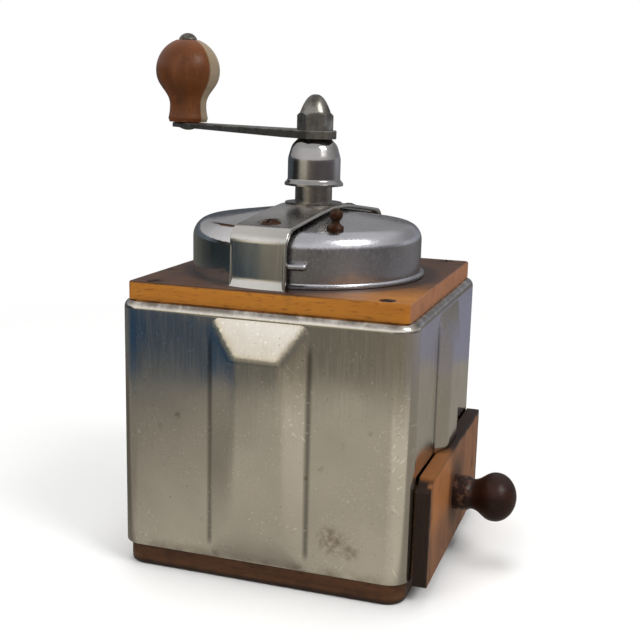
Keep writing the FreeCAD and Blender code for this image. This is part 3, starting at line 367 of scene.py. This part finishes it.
def base_wear_and_shade(tree, place, colour):
    """The foot is black with grime along its lower edge, and with grime and painted shade under the sleeve."""
    z = add(tree, "ShaderNodeSeparateXYZ", {0: place}).outputs[2]
    # Grime along the lower edge, and grime and painted shade where the sleeve stands on the foot
    lower, upper = past(tree, z, *FOOT_GRIME), past(tree, z, *(BASE_TOP - depth for depth in JOINT_GRIME_AND_SHADE))
    edges = add(tree, "ShaderNodeMath", {0: lower, 1: upper}, operation="MAXIMUM").outputs[0]
    return coat(tree, colour, "#140C08", edges, share=0.85)


def front_wear(tree, place, colour):
    """The drawer's front is black along its ragged edges and behind its face, soiled round the pull, and has one
    bare orange patch."""
    x, y, z = add(tree, "ShaderNodeSeparateXYZ", {0: place}).outputs
    worn = spots(tree, place, RAGGED_CHIP, 0.2, 0.8, detail=5)
    off = add(tree, "ShaderNodeMath", {0: x}, operation="ABSOLUTE").outputs[0]
    reach, height = (add(tree, "ShaderNodeMath", {0: worn, 1: RAGGED_DEPTH * MM, 2: way},
                         operation="MULTIPLY_ADD").outputs[0] for way in (off, z))
    rim = past(tree, reach, FRONT_HIGH.x - RIM_GRIME, FRONT_HIGH.x)
    upper = past(tree, height, FRONT_HIGH.z - UPPER_GRIME, FRONT_HIGH.z)
    behind = past(tree, y, *(FRONT_LOW.y + depth for depth in BEHIND_FACE))
    for edge in (upper, behind):
        rim = add(tree, "ShaderNodeMath", {0: rim, 1: edge}, operation="MAXIMUM").outputs[0]
    colour = coat(tree, colour, "#0E0907", rim, share=0.94)
    patch = [past(tree, way, *border) for way, borders in ((x, PATCH_X), (z, PATCH_Z)) for border in borders]
    colour = coat(tree, colour, "#B5733A", *patch, share=0.42)
    pull = (PULL_LOW + PULL_HIGH) / 2
    soiled = near(tree, place, (pull.x, FRONT_LOW.y, pull.z), *PULL_SOIL)
    return coat(tree, colour, "#1E130D", soiled, share=0.55)


def knob_painted_highlight(tree, place, colour):
    """A painted highlight: a pale strip down one side of the turned knob."""
    axis = (KNOB_LOW + KNOB_HIGH) / 2 * MM
    about = add(tree, "ShaderNodeVectorMath", {0: place, 1: axis}, operation="SUBTRACT").outputs[0]
    uneven = spots(tree, place, STRIP_GRAIN, 0.0, 1.0, (1, 1, 0.15))
    share = add(tree, "ShaderNodeMath", {0: uneven, 1: STRIP_WOBBLE, 2: turn_share(tree, about)},
                operation="MULTIPLY_ADD").outputs[0]
    edges = [add(tree, "ShaderNodeMapRange", {"Value": share, "From Min": start, "From Max": end}).outputs[0]
             for start, end in (STRIP_START, STRIP_END)]
    return coat(tree, colour, "#8F826B", *edges, share=0.8)


def collar_wear(tree, place, colour):
    """The pull's collar is rubbed through to lighter wood in spots."""
    y = add(tree, "ShaderNodeSeparateXYZ", {0: place}).outputs[1]
    collar = past(tree, y, PULL_HIGH.y - COLLAR_LENGTH, PULL_HIGH.y - COLLAR_LENGTH + COLLAR_FADE)
    return coat(tree, colour, "#74523E", collar, spots(tree, place, COLLAR_RUB, 0.50, 0.64, detail=4), share=0.45)


def old_beech(name, along, light, dark, fleck, rough, dirt_from=0.6, wear_and_painted_light=None):
    """Old beech: slow bands along the grain, fine fibres, the short dark dashes that mark it as beech, and dirt."""
    material, tree, shader, place = new_finish(name, **{"Specular IOR Level": BEECH_GLOSS})
    grain, dash = [1.0, 1.0, 1.0], [1.0, 1.0, 1.0]
    grain["XYZ".index(along)] = 0.05
    dash["XYZ".index(along)] = 0.16
    bands = spots(tree, place, BEECH_BAND, 0.30, 0.70, grain, detail=4)
    fibres = spots(tree, place, BEECH_FIBRE, 0.32, 0.68, grain, detail=3)
    dashes = spots(tree, place, BEECH_DASH, 0.60, 0.70, dash, detail=1, shift=(0.4, 0.1, 0.8))
    dirt = spots(tree, place, BEECH_DIRT, dirt_from, dirt_from + 0.2, detail=6, shift=(0.9, 0.3, 0.2))
    colour = coat(tree, light, dark, bands)
    colour = coat(tree, colour, dark, fibres, share=0.30)
    colour = coat(tree, colour, fleck, dashes, share=0.5)
    if wear_and_painted_light:
        colour = wear_and_painted_light(tree, place, colour)
    tree.links.new(coat(tree, colour, "#20120A", dirt, share=0.6), shader.inputs["Base Color"])
    dulled(tree, shader, rough, ((dirt, 0.2),))
    raised = add(tree, "ShaderNodeMath", {0: fibres, 1: dashes}, operation="ADD").outputs[0]
    relief(tree, shader, raised, 0.05, 0.5)
    return material


# Drawn sheet, nickel-plated: warm on the sleeve, where the plate is thin, and greyer on the polished dome
UPRIGHT, ROUND, EVEN = (1.0, 1.0, 0.06), (0.3, 0.3, 1.0), (0.6, 0.6, 0.5)
sleeve_nickel = nickel_sheet("worn_nickel_sleeve", "#CBC5B9", "#BFB9AD", "#8E8270", 0.17, UPRIGHT, 0.16, 0.68,
                             sleeve_wear_and_shade)
dome_nickel = nickel_sheet("polished_nickel_dome", "#BCBAB6", "#ADABA7", "#8A8278", 0.13, ROUND, 0.06, 0.72)
door_nickel = nickel_sheet("satin_nickel_door", "#B4B3B4", "#9A999A", "#746E68", 0.25, EVEN, 0.015, 0.66)
strap_nickel = nickel_sheet("satin_nickel_strap", "#B4B1A9", "#A3A098", "#7C7468", 0.24, UPRIGHT, 0.06, 0.70)
bell_nickel = nickel_sheet("dull_nickel_bell", "#9A9794", "#82807C", "#5E5850", 0.17, ROUND, 0.02, 0.72)
bush_nickel = nickel_sheet("grimy_nickel_bush", "#A29E96", "#817C74", "#3E3128", 0.18, ROUND, 0.03, 0.50)
# Forged and turned steel without plate: dark on the crank, brown on the screws, grey inside
dark_steel = aged_steel("aged_dark_steel", "#7E7B73", "#524F49", "#4B4034", 0.27, 0.56)
rusty_steel = aged_steel("rusted_steel", "#4E4038", "#38291F", "#452A1C", 0.42, 0.44)
plain_steel = aged_steel("plain_steel", "#A39E98", "#7E7973", "#6A5A4A", 0.34, 0.66)
bare_iron = aged_steel("bare_cast_iron", "#5A5753", "#3E3B39", "#45342A", 0.45, 0.60)
# Beech, sawn for the boxes and turned for the knobs: honey varnish, dark stain, bare wood and blackened wood
plate_beech = old_beech("varnished_honey_beech", "Y", "#B17420", "#925713", "#5A310C", 0.40, wear_and_painted_light=plate_wear_and_shade)
base_beech = old_beech("dark_stained_beech", "Y", "#5C3A20", "#3C2413", "#1E1008", 0.50, 0.5, base_wear_and_shade)
case_beech = old_beech("plain_beech_boards", "Z", "#A98358", "#8E6A44", "#64472A", 0.6)
front_beech = old_beech("worn_drawer_beech", "Z", "#885A38", "#643F27", "#3E2717", 0.5, wear_and_painted_light=front_wear)
knob_beech = old_beech("reddish_turned_beech", "Z", "#6A3B19", "#4E2A11", "#3C1F0C", 0.34, wear_and_painted_light=knob_painted_highlight)
pull_beech = old_beech("blackened_turned_beech", "Y", "#341C13", "#1F110B", "#120805", 0.34, wear_and_painted_light=collar_wear)

FINISH = {
    "base_plate": base_beech, "base_screws": plain_steel, "body_shell": sleeve_nickel,
    "case_left_board": case_beech, "case_right_board": case_beech, "case_back_board": case_beech,
    "case_front_rail": case_beech, "top_plate": plate_beech, "top_plate_screws": rusty_steel,
    "hopper_shell": dome_nickel, "bridge_strap": strap_nickel, "strap_screws": rusty_steel,
    "bearing_column": bush_nickel, "column_nut": plain_steel, "mill_ring": bare_iron, "mill_bridge": plain_steel,
    "mill_screws": plain_steel, "hopper_door": door_nickel, "door_knob": rusty_steel, "door_stop_peg": door_nickel,
    "crank_shaft": plain_steel, "mill_cone": bare_iron, "cone_nut": plain_steel, "bell_cap": bell_nickel,
    "crank_arm": dark_steel, "acorn_nut": dark_steel, "knob_spindle": dark_steel, "crank_knob": knob_beech,
    "drawer_front": front_beech, "drawer_left_side": case_beech, "drawer_right_side": case_beech,
    "drawer_back": case_beech, "drawer_bottom": case_beech, "drawer_knob": pull_beech,
    "drawer_knob_screw": plain_steel,
}
BODY_OF = {node: body for body, nodes in frame["record"]["behaviour"]["bodies"].items() for node in nodes}


def round_cap(nut):
    """Draws the solid's flat-tipped cap in and closes a full round one over it, sunk a little into the hexagon."""
    for vert in nut.verts:
        if vert.co.z > CAP_BASE + SAME_PLACE:
            lift = vert.co.z - CAP_BASE
            vert.co = Vector((vert.co.x * CAP_CORE, vert.co.y * CAP_CORE, CAP_BASE + lift * CAP_CORE))
    turns = [side * math.tau / CAP_SIDES for side in range(CAP_SIDES)]
    rings = []
    for step in range(-1, CAP_RINGS):
        share = 1 - (1 - max(step, 0) / CAP_RINGS) ** 2
        radius = CAP_RADIUS * (1 - share) ** CAP_BELLY
        height = CAP_BASE + CAP_HEIGHT * share - (CAP_SINK if step < 0 else 0)
        rings.append([nut.verts.new((radius * math.cos(turn), radius * math.sin(turn), height)) for turn in turns])
    tip = nut.verts.new((0, 0, CAP_BASE + CAP_HEIGHT))
    nut.faces.new(rings[0][::-1])
    for side in range(CAP_SIDES):
        after = (side + 1) % CAP_SIDES
        for lower, upper in zip(rings, rings[1:]):
            nut.faces.new((lower[side], lower[after], upper[after], upper[side]))
        nut.faces.new((rings[-1][side], rings[-1][after], tip))


def dressed_copy(node):
    """A node's solid with its loose triangles joined, smooth over its rounds and sharp at its edges."""
    mesh = frame["nodes"][node].data.copy()
    mesh.name = node + "_dressed"
    joined = bmesh.new()
    joined.from_mesh(mesh)
    bmesh.ops.remove_doubles(joined, verts=joined.verts, dist=JOIN_DISTANCE)
    if node == "acorn_nut":
        round_cap(joined)
    joined.to_mesh(mesh)
    joined.free()
    if "custom_normal" in mesh.attributes:
        mesh.attributes.remove(mesh.attributes["custom_normal"])
    mesh.polygons.foreach_set("use_smooth", [True] * len(mesh.polygons))
    mesh.set_sharp_from_angle(angle=SHARP_ANGLE)
    mesh.materials.clear()
    mesh.materials.append(FINISH[node])
    piece = bpy.data.objects.new(node + "_dressed", mesh)
    bpy.context.scene.collection.objects.link(piece)
    even = piece.modifiers.new("even_normals", "WEIGHTED_NORMAL")
    even.keep_sharp = True
    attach(piece, BODY_OF[node])
    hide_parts(node)


def strap_edge(side):
    """The path along one edge of the strap over the dome, at half its thickness, read from the solid."""
    upright = Matrix.Rotation(-STRAP_ANGLE, 3, "Z")
    corners = [upright @ vert.co for vert in frame["nodes"]["bridge_strap"].data.vertices]
    edge = sorted({(round(p.x, 6), round(p.z, 6)) for p in corners
                   if abs(p.y - side * STRAP_HALF) < SAME_PLACE and p.z > DOME_FOOT * MM + STRAP_FOOT})
    over = []
    for x, z in edge:
        while len(over) > 1 and ((over[-1][0] - over[-2][0]) * (z - over[-2][1])
                                 - (over[-1][1] - over[-2][1]) * (x - over[-2][0])) >= 0:
            over.pop()
        over.append((x, z))
    path = []
    for step, (x, z) in enumerate(over):
        before, after = over[max(step - 1, 0)], over[min(step + 1, len(over) - 1)]
        along = Vector((after[0] - before[0], after[1] - before[1])).normalized()
        path.append(upright.transposed() @ Vector((x + along.y * EDGE_RADIUS, side * (STRAP_HALF - EDGE_INSET),
                                                   z - along.x * EDGE_RADIUS)))
    return path


def rolled_edges():
    """The strap's two long edges are rolled over: a round bead swept along each, which catches the light."""
    wire = bpy.data.curves.new("strap_edges", "CURVE")
    wire.dimensions = "3D"
    for side in (-1, 1):
        path = strap_edge(side)
        spline = wire.splines.new("POLY")
        spline.points.add(len(path) - 1)
        for point, place in zip(spline.points, path):
            point.co = (*place, 1.0)
    carrier = bpy.data.objects.new("strap_edges", wire)
    bpy.context.scene.collection.objects.link(carrier)
    tree = bpy.data.node_groups.new("rolled_edges", "GeometryNodeTree")
    tree.interface.new_socket("Geometry", in_out="INPUT", socket_type="NodeSocketGeometry")
    radius = tree.interface.new_socket("Edge Radius", in_out="INPUT", socket_type="NodeSocketFloat")
    tree.interface.new_socket("Geometry", in_out="OUTPUT", socket_type="NodeSocketGeometry")
    given = add(tree, "NodeGroupInput").outputs
    section = add(tree, "GeometryNodeCurvePrimitiveCircle",
                  {"Resolution": EDGE_SIDES, "Radius": given["Edge Radius"]}).outputs["Curve"]
    swept = add(tree, "GeometryNodeCurveToMesh",
                {"Curve": given["Geometry"], "Profile Curve": section, "Fill Caps": True})
    smooth = add(tree, "GeometryNodeSetShadeSmooth", {"Geometry": swept.outputs[0]})
    solid = add(tree, "GeometryNodeRealizeInstances", {"Geometry": smooth.outputs[0]})
    coated = add(tree, "GeometryNodeSetMaterial", {"Geometry": solid.outputs[0], "Material": strap_nickel})
    add(tree, "NodeGroupOutput", {"Geometry": coated.outputs[0]})
    sweep = carrier.modifiers.new("rolled_edges", "NODES")
    sweep.node_group = tree
    sweep[radius.identifier] = EDGE_RADIUS
    shape = carrier.evaluated_get(bpy.context.evaluated_depsgraph_get())
    bead = bpy.data.objects.new("strap_rolled_edges", bpy.data.meshes.new_from_object(shape))
    bpy.context.scene.collection.objects.link(bead)
    bpy.data.objects.remove(carrier)
    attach(bead, BODY_OF["bridge_strap"])


def hang_card(name, points, faces, build):
    """A studio card that only reflections see; build turns its tree and place into a colour and a strength."""
    material = bpy.data.materials.new(name)
    material.use_nodes = True
    tree = material.node_tree
    tree.nodes.clear()
    colour, strength = build(tree, add(tree, "ShaderNodeTexCoord").outputs["Object"])
    light = add(tree, "ShaderNodeEmission", {"Color": colour, "Strength": strength})
    add(tree, "ShaderNodeOutputMaterial", {"Surface": light.outputs[0]})
    mesh = bpy.data.meshes.new(name)
    mesh.from_pydata(points, [], faces)
    mesh.materials.append(material)
    card = bpy.data.objects.new(name, mesh)
    bpy.context.scene.collection.objects.link(card)
    for ray in ("visible_camera", "visible_diffuse", "visible_shadow", "visible_volume_scatter"):
        setattr(card, ray, False)


def ring_of_panels(radius, height):
    """The points and faces of a ring of upright panels that stands on the floor."""
    points, faces = [], []
    for step in range(PANEL_COUNT):
        turn = step * math.tau / PANEL_COUNT
        points.append((radius * math.cos(turn), radius * math.sin(turn), 0.0))
        points.append((radius * math.cos(turn), radius * math.sin(turn), height))
        after = (step + 1) % PANEL_COUNT
        faces.append((2 * step, 2 * after, 2 * after + 1, 2 * step + 1))
    return points, faces


def table_glow(tree, place):
    """The table's light: strongest before the wide face, weaker to its left and before the drawer."""
    x, y, _ = add(tree, "ShaderNodeSeparateXYZ", {0: place}).outputs
    right, left, depth = (
        add(tree, "ShaderNodeMapRange", {"Value": way, "From Min": start, "From Max": end, "To Min": first,
                                         "To Max": last}, interpolation_type="SMOOTHSTEP").outputs[0]
        for way, (start, end, first, last) in ((y, TABLE_RIGHT), (y, TABLE_LEFT), (x, TABLE_DEPTH)))
    along = add(tree, "ShaderNodeMath", {0: right, 1: left}, operation="ADD").outputs[0]
    return TABLE_COLOUR, add(tree, "ShaderNodeMath", {0: along, 1: depth}, operation="MULTIPLY").outputs[0]


def ring_glow(tree, place):
    """A low ring of coloured cards with ragged borders, with other colours above the height that the sleeve sees."""
    ragged = spots(tree, place, RING_PATCH, 0.2, 0.8)
    share = add(tree, "ShaderNodeMath", {0: ragged, 1: RING_RAGGED, 2: turn_share(tree, place)},
                operation="MULTIPLY_ADD").outputs[0]
    share = add(tree, "ShaderNodeMath", {0: share, 1: RING_RAGGED / 2}, operation="SUBTRACT").outputs[0]
    height = add(tree, "ShaderNodeSeparateXYZ", {0: place}).outputs[2]
    low, high = (add(tree, "ShaderNodeValToRGB", {"Fac": share}, stops=stops).outputs[0]
                 for stops in (RING_COLOURS, UPPER_RING_COLOURS))
    return coat(tree, low, high, past(tree, height, *RING_SPLIT)), 1.0


def far_ring_glow(tree, place):
    """A far ring of light and dark cards, which give the bell and the bush their upright bands."""
    bands = add(tree, "ShaderNodeValToRGB", {"Fac": turn_share(tree, place)}, stops=FAR_RING_COLOURS)
    return bands.outputs[0], FAR_RING_LIGHT


def tent_glow(tree, place):
    """A white tent, brighter on the side of the wide face and even overhead."""
    way = add(tree, "ShaderNodeVectorMath", {0: place}, operation="NORMALIZE").outputs[0]
    x, _, z = add(tree, "ShaderNodeSeparateXYZ", {0: way}).outputs
    near_side, far_side, near_light, far_light = TENT_SIDES
    side = add(tree, "ShaderNodeMapRange", {"Value": x, "From Min": near_side, "From Max": far_side,
                                            "To Min": near_light, "To Max": far_light}).outputs[0]
    height = add(tree, "ShaderNodeMapRange", {"Value": z, "From Min": TENT_OVERHEAD[0], "From Max": TENT_OVERHEAD[1]},
                 interpolation_type="SMOOTHSTEP").outputs[0]
    return TENT_COLOUR, add(tree, "ShaderNodeMix", {0: height, 2: side, 3: 1.0}).outputs[0]


def hang_surround():
    """What the metal mirrors: a table card with a hole for the foot, two rings beyond it and a tent overhead."""
    marks = (-RING_RADIUS, -TABLE_GAP, TABLE_GAP, RING_RADIUS)
    points = [(x, y, TABLE_LIFT) for x in marks for y in marks]
    around = (0, 1, 2, 4, 6, 8, 9, 10)  # the first corner of each square but the middle one
    hang_card("table_card", points, [(i, i + 4, i + 5, i + 1) for i in around], table_glow)
    hang_card("ring_card", *ring_of_panels(RING_RADIUS, RING_HEIGHT), ring_glow)
    hang_card("far_ring_card", *ring_of_panels(FAR_RING_RADIUS, FAR_RING_HEIGHT), far_ring_glow)
    tent = bmesh.new()
    bmesh.ops.create_uvsphere(tent, u_segments=32, v_segments=16, radius=TENT_RADIUS)
    points = [tuple(vert.co) for vert in tent.verts]
    faces = [[vert.index for vert in face.verts] for face in tent.faces]
    tent.free()
    hang_card("tent_card", points, faces, tent_glow)


def seen_rays(tree):
    """1 for the rays that the picture and its reflections see, 0 for light on surfaces."""
    rays = add(tree, "ShaderNodeLightPath").outputs
    seen = rays["Is Camera Ray"]
    for name in ("Is Glossy Ray", "Is Transmission Ray"):
        seen = add(tree, "ShaderNodeMath", {0: seen, 1: rays[name]}, operation="MAXIMUM").outputs[0]
    return seen


def lay_floor():
    """A pale floor that keeps the shadow and fades into the white ground."""
    mesh = bpy.data.meshes.new("studio_floor")
    turns = [step * math.tau / PANEL_COUNT for step in range(PANEL_COUNT)]
    mesh.from_pydata([(FLOOR_RADIUS * math.cos(turn), FLOOR_RADIUS * math.sin(turn), 0.0) for turn in turns], [],
                     [list(range(PANEL_COUNT))])
    floor = bpy.data.objects.new("studio_floor", mesh)
    bpy.context.scene.collection.objects.link(floor)
    material = bpy.data.materials.new("pale_floor")
    material.use_nodes = True
    tree = material.node_tree
    tree.nodes.clear()
    place = add(tree, "ShaderNodeTexCoord").outputs["Object"]
    far = add(tree, "ShaderNodeVectorMath", {0: place}, operation="LENGTH").outputs["Value"]
    fade = add(tree, "ShaderNodeMapRange", {"Value": far, "From Min": FLOOR_FADE[0], "From Max": FLOOR_FADE[1]},
               interpolation_type="SMOOTHSTEP").outputs["Result"]
    ground = add(tree, "ShaderNodeBsdfDiffuse", {"Color": "#F4F4F3"}).outputs[0]
    white = add(tree, "ShaderNodeEmission", {"Color": "#FFFFFF", "Strength": 1.0}).outputs[0]
    shown = add(tree, "ShaderNodeMath", {0: fade, 1: seen_rays(tree)}, operation="MULTIPLY").outputs[0]
    mixed = add(tree, "ShaderNodeMixShader", {0: shown, 1: ground, 2: white})
    add(tree, "ShaderNodeOutputMaterial", {"Surface": mixed.outputs[0]})
    mesh.materials.append(material)


def light_studio():
    """A white world that lights softly, and three soft lamps, of which one shows in the gloss."""
    scene = bpy.context.scene
    scene.view_settings.view_transform = "Standard"
    scene.world = bpy.data.worlds.new("studio")
    scene.world.use_nodes = True
    tree = scene.world.node_tree
    tree.nodes.clear()
    strength = add(tree, "ShaderNodeMapRange", {"Value": seen_rays(tree), "To Min": SKY_LIGHT, "To Max": 1.0})
    sky = add(tree, "ShaderNodeBackground", {"Color": "#FFFFFF", "Strength": strength.outputs["Result"]})
    add(tree, "ShaderNodeOutputWorld", {"Surface": sky.outputs[0]})
    for name, spot, size, power in LAMPS:
        lamp = bpy.data.lights.new(name, "AREA")
        lamp.shape = "SQUARE"
        lamp.size = size
        lamp.energy = power
        holder = bpy.data.objects.new(name, lamp)
        holder.location = spot
        holder.rotation_euler = (Vector(LAMP_AIM) - Vector(spot)).to_track_quat("-Z", "Y").to_euler()
        holder.visible_glossy = name == GLINT_LAMP
        scene.collection.objects.link(holder)


def set_camera():
    """The picture's camera, from its angles, distance and aim."""
    flat = math.cos(VIEW_ELEVATION)
    back = Vector((math.sin(VIEW_AZIMUTH) * flat, -math.cos(VIEW_AZIMUTH) * flat, math.sin(VIEW_ELEVATION)))
    right = Vector((math.cos(VIEW_AZIMUTH), math.sin(VIEW_AZIMUTH), 0))
    up = back.cross(right)
    eye = Vector((0, 0, VIEW_AIM_HEIGHT)) + right * VIEW_AIM_RIGHT + back * VIEW_DISTANCE
    across = right * math.cos(VIEW_ROLL) + up * math.sin(VIEW_ROLL)
    upward = up * math.cos(VIEW_ROLL) - right * math.sin(VIEW_ROLL)
    lens = bpy.data.cameras.new("picture_camera")
    lens.sensor_width = SENSOR_WIDTH
    lens.lens = FOCAL_PIXELS / IMAGE_SIDE * SENSOR_WIDTH
    lens.clip_start = 0.01
    camera = bpy.data.objects.new("picture_camera", lens)
    camera.matrix_world = Matrix.Translation(eye) @ Matrix((across, upward, back)).transposed().to_4x4()
    bpy.context.scene.collection.objects.link(camera)
    bpy.context.scene.camera = camera


for node in FINISH:
    dressed_copy(node)
rolled_edges()
lay_floor()
light_studio()
hang_surround()
set_camera()
